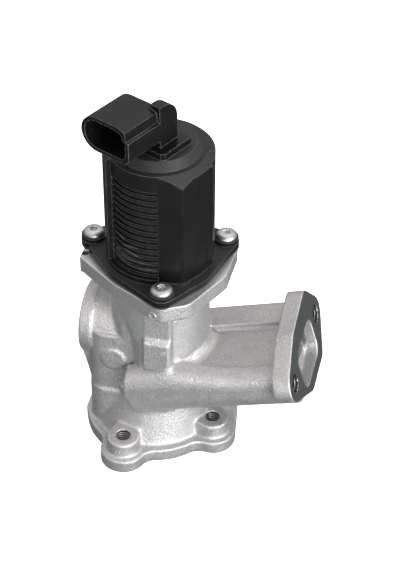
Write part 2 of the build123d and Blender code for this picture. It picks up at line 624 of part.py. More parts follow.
def sensor_cover():
    """End cap: sloping rim, plinth, neck and plug socket, hollow over the sensor."""
    cap = turned((0, ACT_TOP), (RING_R, ACT_TOP), (RING_R, ACT_TOP + 0.6), (CAP_TOP_R, CAP_TOP), (0, CAP_TOP))
    cap += rod(SPIGOT_R, CORE_TOP, ACT_TOP + 1)
    plinth = PLAN * slab(PLINTH_BACK, PLINTH_FRONT, PLINTH_LEFT, PLINTH_RIGHT, ACT_TOP + 1, PLINTH_TOP)
    cap += plinth & rod(CAP_TOP_R - 0.6, ACT_TOP, PLINTH_TOP + 1)
    top = PLUG_Z + PLUG_H / 2
    for left, height in ((NECK_LEFT, top + NECK_LOW), (NECK_STEP, top + NECK_HIGH)):
        neck = slab(NECK_REAR, NECK_FRONT, left, NECK_RIGHT, PLINTH_TOP - 1, height)
        rear_top = neck.edges().filter_by(Axis.Y).group_by(Axis.Z)[-1].sort_by(Axis.X)[0]
        cap += PLAN * fillet(rear_top, NECK_REAR_R)
    cap += extrude(PLUG_PLANE * socket_outline(), -PLUG_LEN)
    cap -= extrude(PLUG_PLANE * socket_outline(PLUG_WALL), -PLUG_DEPTH)
    cap -= rod(SPIGOT_BORE_R, CORE_TOP - 1, WELL_TOP_WIDE) + rod(SENSOR_WELL_R, WELL_TOP_WIDE - 1, SENSOR_ROOF)
    cap -= seal_groove()
    cap -= PLAN * track_slot()
    return cap - connector_pins()


def seal_groove():
    middle = (CORE_TOP + ACT_TOP) / 2 + 1
    return tube(SPIGOT_R + 1, SPIGOT_R - 2 * RING_SEAL_R, middle - RING_SEAL_R, middle + RING_SEAL_R)


def cap_seal():
    middle = (CORE_TOP + ACT_TOP) / 2 + 1
    return Pos(0, 0, middle) * Torus(SPIGOT_R - RING_SEAL_R, RING_SEAL_R)


def track_slot():
    """Where the sensor's track plate stands, in the socket's own directions."""
    return slab(-TRACK_DIST - TRACK_T, -TRACK_DIST, -TRACK_W / 2, TRACK_W / 2, CORE_TOP + 1.2, SENSOR_ROOF - 1)


def sensor_track():
    return PLAN * track_slot()


def sensor_plunger():
    """Rod that stands on the stem, with the carrier for the wiper."""
    pin = rod(PLUNGER_R, STEM_TOP + SEAT_GAP, PLUNGER_TOP)
    return pin + rod(CARRIER_R, CARRIER_Z0, CARRIER_Z0 + CARRIER_T)


def sensor_wiper():
    """Bent strip on the carrier that runs on the track."""
    x = -TRACK_DIST + 0.1
    foot = slab(x, -CARRIER_R + 0.6, -1.5, 1.5, CARRIER_Z0 + CARRIER_T, CARRIER_Z0 + CARRIER_T + 0.3)
    blade = slab(x, x + 0.3, -1.5, 1.5, CARRIER_Z0 + CARRIER_T, CARRIER_Z0 + CARRIER_T + 2.5)
    return PLAN * (foot + blade)


def each(maker, spots):
    """One group of separate solids, one for each place."""
    return Compound(children=[maker(spot).solid() for spot in spots])


NODES = {
    "valve_housing": valve_housing,
    "seat_ring": seat_ring,
    "stem_guide": stem_guide,
    "scraper_ring": scraper_ring,
    "stem_seal": stem_seal,
    "valve_stem": valve_stem,
    "poppet_head": poppet_head,
    "stem_clip": stem_clip,
    "armature": armature,
    "actuator_gasket": actuator_gasket,
    "actuator_housing": actuator_housing,
    "compression_sleeves": lambda: each(compression_sleeve, SCREW_SPOTS),
    "actuator_screws": lambda: each(actuator_screw, SCREW_SPOTS),
    "bottom_plate": bottom_plate,
    "yoke_tube": yoke_tube,
    "guide_sleeve": guide_sleeve,
    "coil_bobbin": coil_bobbin,
    "coil_winding": coil_winding,
    "coil_terminals": coil_terminals,
    "top_plate": top_plate,
    "fixed_core": fixed_core,
    "return_spring": lambda: coil_spring(SPRING_MEAN_R, SPRING_WIRE_R, SPRING_TURNS,
                                         ARMATURE_TOP - SPRING_POCKET_D, CORE_Z0 + CORE_POCKET_D),
    "sensor_cover": sensor_cover,
    "cap_seal": cap_seal,
    "connector_pins": connector_pins,
    "sensor_track": sensor_track,
    "sensor_plunger": sensor_plunger,
    "sensor_wiper": sensor_wiper,
    "sensor_spring": lambda: coil_spring(SENSOR_SPRING_R, SENSOR_WIRE_R, SENSOR_TURNS,
                                         CARRIER_Z0 + CARRIER_T, SENSOR_ROOF),
}

os.makedirs("parts", exist_ok=True)
for name, make in NODES.items():
    export_step(make(), f"parts/{name}.step")
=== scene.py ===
"""Looks of the valve: materials, cast and machined detail, screws, threads, light and camera.

Metres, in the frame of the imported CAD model: the valve's axis is Z and its base stands on z = 0.
Places and sizes named here are in millimetres, and MM turns them into metres.
"""
import json
import math

import bmesh
import bpy
import numpy as np
from mathutils import Matrix, Vector
from mathutils.bvhtree import BVHTree


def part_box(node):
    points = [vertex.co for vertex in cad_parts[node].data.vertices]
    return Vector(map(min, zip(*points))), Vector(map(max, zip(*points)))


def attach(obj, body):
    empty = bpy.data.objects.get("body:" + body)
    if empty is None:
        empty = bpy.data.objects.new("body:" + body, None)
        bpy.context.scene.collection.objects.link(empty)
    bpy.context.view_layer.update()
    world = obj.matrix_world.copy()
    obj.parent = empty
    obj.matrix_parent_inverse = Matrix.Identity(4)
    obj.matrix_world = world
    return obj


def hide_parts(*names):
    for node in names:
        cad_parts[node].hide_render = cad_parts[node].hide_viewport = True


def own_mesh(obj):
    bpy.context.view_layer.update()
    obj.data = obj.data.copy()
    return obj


MM = 0.001


def rad(degrees):
    return math.radians(degrees)


def polar(radius, angle, x=0.0, y=0.0):
    return (x + radius * math.cos(rad(angle)), y + radius * math.sin(rad(angle)))


# --- Places taken over from the CAD source (mm) -----------------------------------------------
BASE_MIDDLE = (-3.8, -1.0)
BASE_HOLE_R = 33.3
BASE_HOLE_ANGLES = (-101.7, -17.1, 118.0)
THREAD_R = 3.4
BOSS_TOP = 14.4
SCREW_PLACES = ((31.7, -74.2), (31.7, 29.4), (32.8, 174.0))
SCREW_SEAT = 104.4
FLANGE_TOP = 98.6
DUCT_TILT = rad(16.5)
DUCT_AXIS_Z = 39.2
DUCT_FACE = 72.4
DUCT_HOLES = ((-25.35, -1.65), (25.35, -1.65))
DUCT_HOLE_R = 4.3
DUCT_HOLE_DEPTH = 8.8
PORT_Z = 57.5
PORT_BORE_R = 13.5
PORT_END = 36.0
BARREL_CORNER = (16.5, -21.6)  # upright corner between the ribs and the flat

BASE_HOLES = [polar(BASE_HOLE_R, a, *BASE_MIDDLE) for a in BASE_HOLE_ANGLES]
SCREWS = [polar(r, a) for r, a in SCREW_PLACES]
DUCT_OUT = Vector((math.cos(DUCT_TILT), 0, math.sin(DUCT_TILT)))
DUCT_UP = Vector((-math.sin(DUCT_TILT), 0, math.cos(DUCT_TILT)))
DUCT_ORIGIN = Vector((0, 0, DUCT_AXIS_Z))


def duct_point(p, q, along=DUCT_FACE):
    """Point of the duct's own frame: p toward the back, q up its section, along its axis."""
    return DUCT_ORIGIN + DUCT_OUT * along + Vector((0, p, 0)) + DUCT_UP * q


# --- Frame --------------------------------------------------------------------------------------
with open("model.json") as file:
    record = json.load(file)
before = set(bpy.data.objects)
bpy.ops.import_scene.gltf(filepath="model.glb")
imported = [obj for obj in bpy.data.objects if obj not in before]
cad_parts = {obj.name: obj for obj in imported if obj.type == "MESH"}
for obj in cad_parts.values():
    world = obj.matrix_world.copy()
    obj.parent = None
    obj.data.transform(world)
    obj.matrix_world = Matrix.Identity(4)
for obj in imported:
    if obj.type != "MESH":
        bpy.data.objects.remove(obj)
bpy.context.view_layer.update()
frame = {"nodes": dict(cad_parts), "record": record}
nodes = frame["nodes"]


# --- Material building --------------------------------------------------------------------------
class Graph:
    """A node tree with short calls for the nodes these materials use."""

    def __init__(self, name):
        self.material = bpy.data.materials.new(name)
        self.material.use_nodes = True
        self.tree = self.material.node_tree
        self.tree.nodes.clear()
        self.out = self.add("ShaderNodeOutputMaterial")
        self.shader = self.add("ShaderNodeBsdfPrincipled")
        self.tree.links.new(self.shader.outputs[0], self.out.inputs[0])
        self.place = self.add("ShaderNodeTexCoord").outputs["Object"]

    def add(self, kind, **props):
        node = self.tree.nodes.new(kind)
        for key, value in props.items():
            setattr(node, key, value)
        return node

    def put(self, socket, value):
        """Links an output to a socket, or sets the socket's own value."""
        if isinstance(value, bpy.types.NodeSocket):
            self.tree.links.new(value, socket)
        else:
            socket.default_value = value

    def math(self, operation, a, b=0.0, c=0.0, clamp=False):
        node = self.add("ShaderNodeMath", operation=operation, use_clamp=clamp)
        for socket, value in zip(node.inputs, (a, b, c)):
            self.put(socket, value)
        return node.outputs[0]

    def below(self, value, limit):
        """1 where the value is under the limit in millimetres, else 0."""
        return self.math("LESS_THAN", value, limit * MM)

    def above(self, value, limit):
        """1 where the value is over the limit in millimetres, else 0."""
        return self.math("GREATER_THAN", value, limit * MM)

    def both(self, a, b):
        return self.math("MULTIPLY", a, b)

    def either(self, masks):
        """1 where any of the masks is 1."""
        first, *others = masks
        for mask in others:
            first = self.math("MAXIMUM", first, mask)
        return first

    def total(self, *weighted):
        """Sum of (value, weight) pairs."""
        parts = [self.math("MULTIPLY", value, weight) for value, weight in weighted]
        result = parts[0]
        for part in parts[1:]:
            result = self.math("ADD", result, part)
        return result

    def dot(self, vector, direction):
        node = self.add("ShaderNodeVectorMath", operation="DOT_PRODUCT")
        self.put(node.inputs[0], vector)
        self.put(node.inputs[1], direction)
        return node.outputs["Value"]

    def scaled(self, factors):
        """Object coordinates stretched along each axis."""
        node = self.add("ShaderNodeMapping")
        self.put(node.inputs["Vector"], self.place)
        node.inputs["Scale"].default_value = factors
        return node.outputs[0]

    def noise(self, scale, detail=2.0, rough=0.5, vector=None):
        node = self.add("ShaderNodeTexNoise")
        self.put(node.inputs["Vector"], vector or self.place)
        node.inputs["Scale"].default_value = scale
        node.inputs["Detail"].default_value = detail
        node.inputs["Roughness"].default_value = rough
        return node.outputs[0]

    def cells(self, scale):
        node = self.add("ShaderNodeTexVoronoi", feature="F1")
        self.put(node.inputs["Vector"], self.place)
        node.inputs["Scale"].default_value = scale
        return node.outputs["Distance"]

    def ramp(self, factor, stops):
        """Maps 0..1 to colours given as (position, colour) stops."""
        node = self.add("ShaderNodeValToRGB")
        self.put(node.inputs[0], factor)
        band = node.color_ramp.elements
        while len(band) < len(stops):
            band.new(0.5)
        for element, (position, colour) in zip(band, stops):
            element.position = position
            element.color = (*colour, 1.0)
        return node.outputs[0]

    def fit(self, value, low, high, to_low, to_high, smooth=False):
        """Carries the range low..high over to to_low..to_high, and holds the ends."""
        node = self.add("ShaderNodeMapRange")
        if smooth:
            node.interpolation_type = "SMOOTHSTEP"
        self.put(node.inputs["Value"], value)
        self.put(node.inputs["From Min"], low)
        self.put(node.inputs["From Max"], high)
        self.put(node.inputs["To Min"], to_low)
        self.put(node.inputs["To Max"], to_high)
        return node.outputs[0]

    def spread(self, noise, low, high):
        """Carries the middle of a noise, where nearly all of it lies, over to low..high."""
        return self.fit(noise, 0.3, 0.7, low, high)

    def mix(self, factor, a, b, blend="MIX"):
        node = self.add("ShaderNodeMix", data_type="RGBA", blend_type=blend)
        self.put(node.inputs[0], factor)
        for socket, value in ((node.inputs[6], a), (node.inputs[7], b)):
            self.put(socket, (*value, 1.0) if isinstance(value, tuple) else value)
        return node.outputs[2]

    def rounded(self, radius):
        """Normals of the surface as if its edges were rounded to this radius."""
        node = self.add("ShaderNodeBevel")
        node.samples = 6
        self.put(node.inputs["Radius"], radius)
        return node.outputs[0]

    def bump(self, height, distance, strength=1.0, normal=None):
        node = self.add("ShaderNodeBump")
        self.put(node.inputs["Height"], height)
        node.inputs["Distance"].default_value = distance
        self.put(node.inputs["Strength"], strength)
        if normal is not None:
            self.put(node.inputs["Normal"], normal)
        return node.outputs[0]

    def edge(self, soft, gain):
        """1 on rounded edges and 0 on open faces."""
        geometry = self.add("ShaderNodeNewGeometry")
        same = self.dot(soft, geometry.outputs["True Normal"])
        return self.math("MULTIPLY", self.math("SUBTRACT", 1.0, same), gain, clamp=True)

    def facing_up(self, soft):
        return self.dot(soft, (0.0, 0.0, 1.0))

    def distance_from(self, kept_axes, centre):
        """Distance from a line: only the kept axes count, measured from the centre."""
        node = self.add("ShaderNodeVectorMath", operation="MULTIPLY_ADD")
        self.put(node.inputs[0], self.place)
        node.inputs[1].default_value = kept_axes
        node.inputs[2].default_value = tuple(-MM * c for c in centre)
        length = self.add("ShaderNodeVectorMath", operation="LENGTH")
        self.tree.links.new(node.outputs[0], length.inputs[0])
        return length.outputs["Value"]

    def from_upright(self, x, y):
        return self.distance_from((1, 1, 0), (x, y, 0))

    def split(self):
        """X, Y and Z of the object coordinates."""
        node = self.add("ShaderNodeSeparateXYZ")
        self.put(node.inputs[0], self.place)
        return node.outputs

    def finish(self, colour, roughness, normal, metallic=0.0, **others):
        shader = self.shader
        self.put(shader.inputs["Base Color"], colour)
        self.put(shader.inputs["Roughness"], roughness)
        if normal is not None:
            self.put(shader.inputs["Normal"], normal)
        self.put(shader.inputs["Metallic"], metallic)
        for key, value in others.items():
            self.put(shader.inputs[key.replace("_", " ")], value)
        return self.material


FACE_SLACK = 0.06  # depth under a machined face that still shows its finish

CAST_SHADED_DOWN = (0.43, 0.443, 0.455)  # cast skin with painted light by facing: painted shade where it looks down, lighter aside and lightest where it looks up
CAST_LIT_SIDE = (0.475, 0.48, 0.488)
CAST_LIT_UP = (0.555, 0.535, 0.542)
# painted highlight on the cast skin's convex edges
CAST_EDGE_HIGHLIGHT = (0.88, 0.87, 0.86)
# painted shade in the cast skin's hollows
CAST_HOLLOW_SHADE = (0.24, 0.24, 0.235)
CUT_FACE = (0.58, 0.58, 0.575)
# painted dark reflection on the duct's machined end face, which otherwise has the cut-face finish
DUCT_FACE_DARK_REFLECTION = (0.17, 0.185, 0.188)
# painted shade inside the threaded bores
HOLE_SHADE = (0.06, 0.06, 0.06)


def machined_masks(g):
    """Masks of the duct's end face, the other cut faces with the port's bore, and the holes."""
    x, y, z = g.split()
    along = g.math("ADD", g.dot(g.place, tuple(DUCT_OUT)), -DUCT_ORIGIN.dot(DUCT_OUT) * MM)
    duct_face = g.above(along, DUCT_FACE - FACE_SLACK)
    from_port = g.distance_from((0, 1, 1), (0, 0, PORT_Z))
    faces = [
        g.below(z, FACE_SLACK),
        g.above(z, FLANGE_TOP - FACE_SLACK),
        g.below(x, -(PORT_END - FACE_SLACK)),
        g.both(g.below(from_port, PORT_BORE_R + 0.2), g.below(x, 0.0)),
    ]
    holes = []
    for hole in BASE_HOLES:
        bore = g.below(g.from_upright(*hole), THREAD_R + 0.05)
        holes.append(g.both(bore, g.below(z, BOSS_TOP + 1)))
    p, q = DUCT_HOLES[1]
    across = g.math("SUBTRACT", g.dot(g.place, tuple(DUCT_UP)), (DUCT_ORIGIN.dot(DUCT_UP) + q) * MM)
    aside = g.math("SUBTRACT", g.math("ABSOLUTE", y), p * MM)
    square = g.math("ADD", g.both(across, across), g.both(aside, aside))
    bore = g.below(g.math("SQRT", square), DUCT_HOLE_R + 0.1)
    holes.append(g.both(bore, g.above(along, DUCT_FACE - DUCT_HOLE_DEPTH - 1)))
    return duct_face, g.either(faces), g.either(holes)


def cast_aluminium():
    """Sand-textured die casting, with machined end faces and bores."""
    g = Graph("cast_aluminium")
    geometry = g.add("ShaderNodeNewGeometry")
    crest = g.fit(geometry.outputs["Pointiness"], 0.515, 0.60, 0.0, 1.0, smooth=True)
    hollow = g.fit(geometry.outputs["Pointiness"], 0.40, 0.49, 1.0, 0.0, smooth=True)
    duct_face, faces, holes = machined_masks(g)
    cut = g.either([holes, duct_face, faces])
    cast = g.math("SUBTRACT", 1.0, cut)

    # grit of the die, coarse and fine, with shallow swells and pits, and tool lines where cut
    grit = g.noise(1150, 3.0, 0.62)
    fine = g.noise(3200, 2.0, 0.6)
    swell = g.noise(260, 2.0, 0.5)
    pit = g.fit(g.cells(520), 0.0, 0.16, 0.0, 1.0, smooth=True)
    height = g.total((grit, 0.75), (fine, 0.28), (swell, 0.5), (pit, 0.12))
    normal = g.bump(height, 0.54 * MM, g.math("MULTIPLY", cast, 0.9))
    lines = g.add("ShaderNodeTexWave", wave_type="BANDS", bands_direction="Y")
    lines.inputs["Scale"].default_value = 900
    lines.inputs["Distortion"].default_value = 2.0
    g.put(lines.inputs["Vector"], g.place)
    normal = g.bump(lines.outputs[1], 0.02 * MM, g.math("MULTIPLY", cut, 0.35), normal)

    # silver with painted light: lighter and a little browner where it looks up, darker and bluer
    # where it looks down
    up = g.fit(g.facing_up(geometry.outputs["Normal"]), -0.4, 0.9, 0.0, 1.0, smooth=True)
    tone = g.ramp(up, [(0.0, CAST_SHADED_DOWN), (0.25, CAST_LIT_SIDE), (1.0, CAST_LIT_UP)])
    mottle = g.spread(g.noise(70, 3.0, 0.5), 0.95, 1.04)
    speck = g.fit(grit, 0.32, 0.68, 0.82, 1.13)
    tinted = g.mix(1.0, tone, g.math("MULTIPLY", mottle, speck), blend="MULTIPLY")
    # painted highlight on the cast skin's convex edges, then painted shade in its hollows
    with_painted_light = g.mix(g.math("MULTIPLY", crest, g.math("MULTIPLY", cast, 0.6)), tinted, CAST_EDGE_HIGHLIGHT)
    with_painted_light = g.mix(g.math("MULTIPLY", hollow, 0.45), with_painted_light, CAST_HOLLOW_SHADE)
    colour = g.mix(cut, with_painted_light, CUT_FACE)
    # painted dark reflection on the duct's end face
    colour = g.mix(duct_face, colour, DUCT_FACE_DARK_REFLECTION)
    # painted shade inside the bores
    colour = g.mix(holes, colour, HOLE_SHADE)
    rough = g.spread(g.noise(700), 0.40, 0.54)
    smoother = g.math("SUBTRACT", 1.0, g.math("MULTIPLY", cut, 0.25))
    return g.finish(colour, g.math("MULTIPLY", rough, smoother), normal, metallic=0.85)


FOOT_BAND = (99.0, 104.6)  # heights whose upward faces carry the spark-eroded finish
SHOULDER_BAND = (154.6, 160.0)
CAP_BAND = (159.0, 163.9)
ERODED_GREY = (0.021, 0.021, 0.0225)


def times(colour, factor):
    return tuple(factor * c for c in colour)


def moulded(name, base, gloss=(0.30, 0.42), radius=0.5, sheen=(0.07, 0.07, 0.074), eroded=(),
            specular=0.5, full_corner=None):
    """Glass-filled moulding with fine grain and a painted highlight on its edges.

    eroded gives height bands, as (low, high), with the rougher and greyer spark-eroded finish.
    full_corner gives the plan place and the radius of one upright corner rounder than the rest.
    """
    g = Graph(name)
    edge_radius, off_corner = radius * MM, None
    if full_corner:
        x, y, wide = full_corner
        away = g.from_upright(x, y)
        near, far = 3.0 * MM, 5.0 * MM
        edge_radius = g.fit(away, near, far, wide * MM, radius * MM)
        off_corner = g.fit(away, near, far, 0.0, 1.0)
    soft = g.rounded(edge_radius)
    grainy = g.noise(1900, 3.0, 0.65)
    wave = g.noise(140, 2.0, 0.5)
    z = g.split()[2]
    grain = 0.3
    if eroded:
        band = g.either([g.both(g.above(z, low), g.below(z, high)) for low, high in eroded])
        grain = g.math("ADD", 0.45, g.math("MULTIPLY", band, 0.55))
    normal = g.bump(g.total((grainy, 0.6), (wave, 0.7)), 0.09 * MM, grain, soft)
    tone = g.ramp(g.noise(60, 4.0, 0.55), [(0.3, times(base, 0.84)), (0.7, times(base, 1.18))])
    rough = g.spread(g.noise(330, 3.0, 0.6), *gloss)
    if eroded:
        grey = g.ramp(grainy, [(0.35, times(ERODED_GREY, 0.6)), (0.65, times(ERODED_GREY, 1.4))])
        band = g.both(band, g.fit(g.facing_up(soft), 0.1, 0.6, 0.0, 1.0, smooth=True))
        tone = g.mix(band, tone, grey)
        rough = g.math("ADD", rough, g.math("MULTIPLY", band, 0.16))
    # painted highlight along the rounded edges, broken up by noise
    sheen_breakup = g.noise(420, 3.0, 0.7, vector=g.scaled((1.0, 1.0, 0.3)))
    edge_sheen = g.both(g.edge(soft, 3.2), g.fit(sheen_breakup, 0.38, 0.66, 0.35, 1.0))
    if full_corner:
        edge_sheen = g.both(edge_sheen, off_corner)
    material = g.finish(g.mix(edge_sheen, tone, sheen), rough, normal, IOR=1.5)
    g.shader.inputs["Specular IOR Level"].default_value = specular
    return material


def metal(name, base, rough=(0.25, 0.4), lines=None, radius=0.25, stain=0.12):
    """Turned (R), ground or drawn (Z) metal with fine tool lines, slight staining and a painted
    highlight on its edges.
    """
    g = Graph(name)
    soft = g.rounded(radius * MM)
    stretch = {"Z": (1.0, 1.0, 14.0), "R": (1.0, 1.0, 0.05), None: (1.0, 1.0, 1.0)}[lines]
    tool = g.noise(1800.0, 2.0, 0.6, vector=g.scaled(stretch))
    normal = g.bump(tool, 0.02 * MM, 0.6, soft)
    light = tuple(min(1.0, c) for c in times(base, 1 + stain * 0.6))
    tone = g.ramp(g.noise(160, 4.0, 0.6), [(0.3, times(base, 1 - stain)), (0.7, light)])
    # painted highlight on the rounded edges
    bright = tuple(min(1.0, c) for c in times(base, 1.25))
    colour = g.mix(g.math("MULTIPLY", g.edge(soft, 2.0), 0.4), tone, bright)
    return g.finish(colour, g.spread(tool, *rough), normal, metallic=1.0)


def rubber(name, base):
    """Black rubber or gasket sheet with a grey bloom."""
    g = Graph(name)
    grain = g.noise(1500, 3.0, 0.6)
    normal = g.bump(grain, 0.03 * MM, 0.5, g.rounded(0.2 * MM))
    bloom = tuple(min(1.0, c * 1.6 + 0.01) for c in base)
    colour = g.ramp(g.noise(180, 4.0, 0.6), [(0.35, base), (0.75, bloom)])
    return g.finish(colour, g.spread(grain, 0.6, 0.78), normal)


def copper():
    """Enamelled wire in close turns, ridged once a turn, with painted shade between the turns and a
    painted highlight on each crest.
    """
    g = Graph("copper_wire")
    z = g.split()[2]
    turn = g.math("ABSOLUTE", g.math("SINE", g.math("MULTIPLY", z, math.pi / (0.5 * MM))))
    normal = g.bump(turn, 0.18 * MM, 0.9)
    # painted shade in the grooves between turns and painted highlight on the crests
    tone = g.ramp(turn, [(0.0, (0.16, 0.05, 0.02)), (0.35, (0.62, 0.24, 0.10)),
                         (1.0, (0.86, 0.42, 0.2))])
    return g.finish(tone, g.spread(g.noise(500), 0.24, 0.36), normal, metallic=1.0,
                    Coat_Weight=0.4, Coat_Roughness=0.12)


def board():
    """Sensor track plate: green laminate with dark resistive tracks along its height."""
    g = Graph("sensor_board")
    weave = g.noise(900)
    across = g.dot(g.place, (0.9026, -0.4305, 0.0))
    wave = g.math("SINE", g.math("MULTIPLY", across, math.pi / (1.6 * MM)))
    stripe = g.math("GREATER_THAN", wave, 0.25)
    base = g.ramp(weave, [(0.3, (0.015, 0.10, 0.045)), (0.7, (0.03, 0.16, 0.07))])
    normal = g.bump(g.total((stripe, 0.5), (weave, 0.2)), 0.04 * MM, 0.6)
    return g.finish(g.mix(stripe, base, (0.02, 0.02, 0.022)), g.spread(weave, 0.3, 0.42), normal)


BLACK = (0.0045, 0.0047, 0.0052)

MATERIALS = {
    "cast_aluminium": cast_aluminium(),
    "seat_steel": metal("seat_steel", (0.24, 0.24, 0.235), lines="R"),
    "guide_bronze": metal("guide_bronze", (0.62, 0.43, 0.20), lines="R"),
    "scraper_steel": metal("scraper_steel", (0.42, 0.42, 0.42)),
    "seal_rubber": rubber("seal_rubber", (0.018, 0.018, 0.019)),
    "stem_steel": metal("stem_steel", (0.60, 0.60, 0.59), rough=(0.14, 0.24), lines="Z"),
    "poppet_steel": metal("poppet_steel", (0.42, 0.40, 0.38), lines="R", stain=0.25),
    "clip_steel": metal("clip_steel", (0.16, 0.16, 0.17), rough=(0.35, 0.5)),
    "soft_iron": metal("soft_iron", (0.50, 0.50, 0.49), rough=(0.3, 0.45), lines="R"),
    "gasket_sheet": rubber("gasket_sheet", (0.035, 0.035, 0.036)),
    "black_moulding": moulded("black_moulding", BLACK, eroded=(FOOT_BAND, SHOULDER_BAND),
                              specular=0.26, sheen=(0.15, 0.15, 0.155),
                              full_corner=(*BARREL_CORNER, 2.4)),
    "cover_moulding": moulded("cover_moulding", BLACK, eroded=(CAP_BAND,), gloss=(0.2, 0.32),
                              specular=0.28, sheen=(0.22, 0.22, 0.23)),
    "screw_zinc": metal("screw_zinc", (0.55, 0.55, 0.555), rough=(0.34, 0.48), radius=0.2),
    "sleeve_steel": metal("sleeve_steel", (0.55, 0.55, 0.54), lines="Z"),
    "sleeve_bright": metal("sleeve_bright", (0.62, 0.62, 0.61), rough=(0.16, 0.28), lines="Z"),
    "bobbin_nylon": moulded("bobbin_nylon", (0.62, 0.55, 0.42), sheen=(0.7, 0.66, 0.55)),
    "copper_wire": copper(),
    "contact_brass": metal("contact_brass", (0.72, 0.62, 0.40), rough=(0.2, 0.32), lines="Z"),
    "spring_steel": metal("spring_steel", (0.46, 0.46, 0.47), rough=(0.2, 0.34)),
    "sensor_board": board(),
    "plunger_nylon": moulded("plunger_nylon", (0.74, 0.72, 0.66), sheen=(0.8, 0.79, 0.75)),
}

for part in frame["record"]["subparts"]:
    obj = nodes[part["node"]]
    obj.data.materials.clear()
    obj.data.materials.append(MATERIALS[part["material_slot"]])


# --- Mesh helpers -------------------------------------------------------------------------------
def make_piece(name, bm, slot, body="housing", smooth=True):
    """Turns a bmesh in millimetres, already in the row frame, into a riding piece."""
    bmesh.ops.recalc_face_normals(bm, faces=bm.faces)
    mesh = bpy.data.meshes.new(name)
    bm.to_mesh(mesh)
    bm.free()
    mesh.transform(Matrix.Scale(MM, 4))
    for polygon in mesh.polygons:
        polygon.use_smooth = smooth
    obj = bpy.data.objects.new(name, mesh)
    bpy.context.scene.collection.objects.link(obj)
    mesh.materials.append(MATERIALS[slot])
    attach(obj, body)
    return obj


def basis(origin, out, across):
    """Matrix of a local frame: its Z points out and its X across."""
    z = Vector(out).normalized()
    x = (Vector(across) - z * z.dot(Vector(across))).normalized()
    y = z.cross(x)
    rows = [[x[i], y[i], z[i], origin[i]] for i in range(3)]
    return Matrix(rows + [[0, 0, 0, 1]])


def add_loop(bm, points, place=Matrix.Identity(4)):
    return [bm.verts.new(place @ Vector(point)) for point in points]


def bridge(bm, rings, capped=False):
    """Joins each ring of vertices to the next with quads, and may close both ends."""
    count = len(rings[0])
    for low, high in zip(rings, rings[1:]):
        for k in range(count):
            after = (k + 1) % count
            bm.faces.new((low[k], low[after], high[after], high[k]))
    if capped:
        bm.faces.new(rings[0])
        bm.faces.new(rings[-1])


def on_circle(radius, angle, height):
    return (radius * math.cos(angle), radius * math.sin(angle), height)


def add_lathe(bm, profile, count, place, reshape):
    """Turns (radius, height) points about local Z. reshape(index, angle, radius) bends a ring."""
    angles = [2 * math.pi * k / count for k in range(count)]
    rings = []
    for index, (radius, height) in enumerate(profile):
        points = [on_circle(reshape(index, angle, radius), angle, height) for angle in angles]
        rings.append(add_loop(bm, points, place))
    bridge(bm, rings)


def add_thread(bm, place, radius, depth, pitch, rise, length, steps=40):
    """Helical ridge on a round hole's wall: rooted in the wall, its crest stands in by rise."""
    root = radius + 0.12
    half_root, half_crest = pitch * 0.42, pitch * 0.42 * 0.2
    total = int(length / pitch * steps)
    run_in = steps * 0.5
    rings = []
    for k in range(total + 1):
        angle = 2 * math.pi * k / steps
        z = -depth + length * k / total
        crest = radius - rise * min(1.0, k / run_in, (total - k) / run_in)
        section = ((root, -half_root), (crest, -half_crest), (crest, half_crest), (root, half_root))
        rings.append(add_loop(bm, [on_circle(r, angle, z + dz) for r, dz in section], place))
    bridge(bm, rings, capped=True)


def add_prism(bm, rings):
    """Closed solid through rings of points."""
    bridge(bm, [add_loop(bm, ring) for ring in rings], capped=True)


def ease(value, low, high):
    """0 below low, 1 above high, and smooth between."""
    t = np.clip((value - low) / (high - low), 0, 1)
    return t * t * (3 - 2 * t)


# --- Casting ------------------------------------------------------------------------------------
VOXEL = 0.5

DISC_X, DISC_Z, DISC_R = -18.9, 47.5, 5.8
DISC_BACK, DISC_FACE = -16.0, -18.7

PAD_X, PAD_RIGHT = -2.2, 10.9
PAD_ROOT, PAD_BACK, PAD_FACE = -22.0, -23.6, -25.5
PAD_LOW, PAD_HIGH, PAD_CHAMFER = 51.2, 68.6, 1.6

# sections of the duct's full front, as (y, height over the lip), at places along X
SHOULDER = ((-19.0, 7.4), (-24.6, 6.6), (-27.6, 3.6), (-28.6, -1.5), (-27.8, -8.0), (-19.0, -8.0))
MIDDLE = ((-19.0, 4.2), (-24.2, 3.2), (-27.2, 1.2), (-28.4, -2.6), (-27.8, -8.0), (-19.0, -8.0))
PLATE = ((-19.0, 1.2), (-23.6, 0.6), (-26.6, -0.8), (-28.3, -3.6), (-27.8, -8.0), (-19.0, -8.0))
FRONT = ((-11.6, SHOULDER), (10.0, SHOULDER), (24.0, MIDDLE), (40.0, PLATE), (60.5, PLATE))


def rectangle(x0, x1, y, z0, z1):
    return [(x0, y, z0), (x1, y, z0), (x1, y, z1), (x0, y, z1)]


def lip_height(x):
    """Height of the duct's front lip above the base, at a place along X."""
    return DUCT_AXIS_Z + x * math.tan(DUCT_TILT) + 3.7 / math.cos(DUCT_TILT)


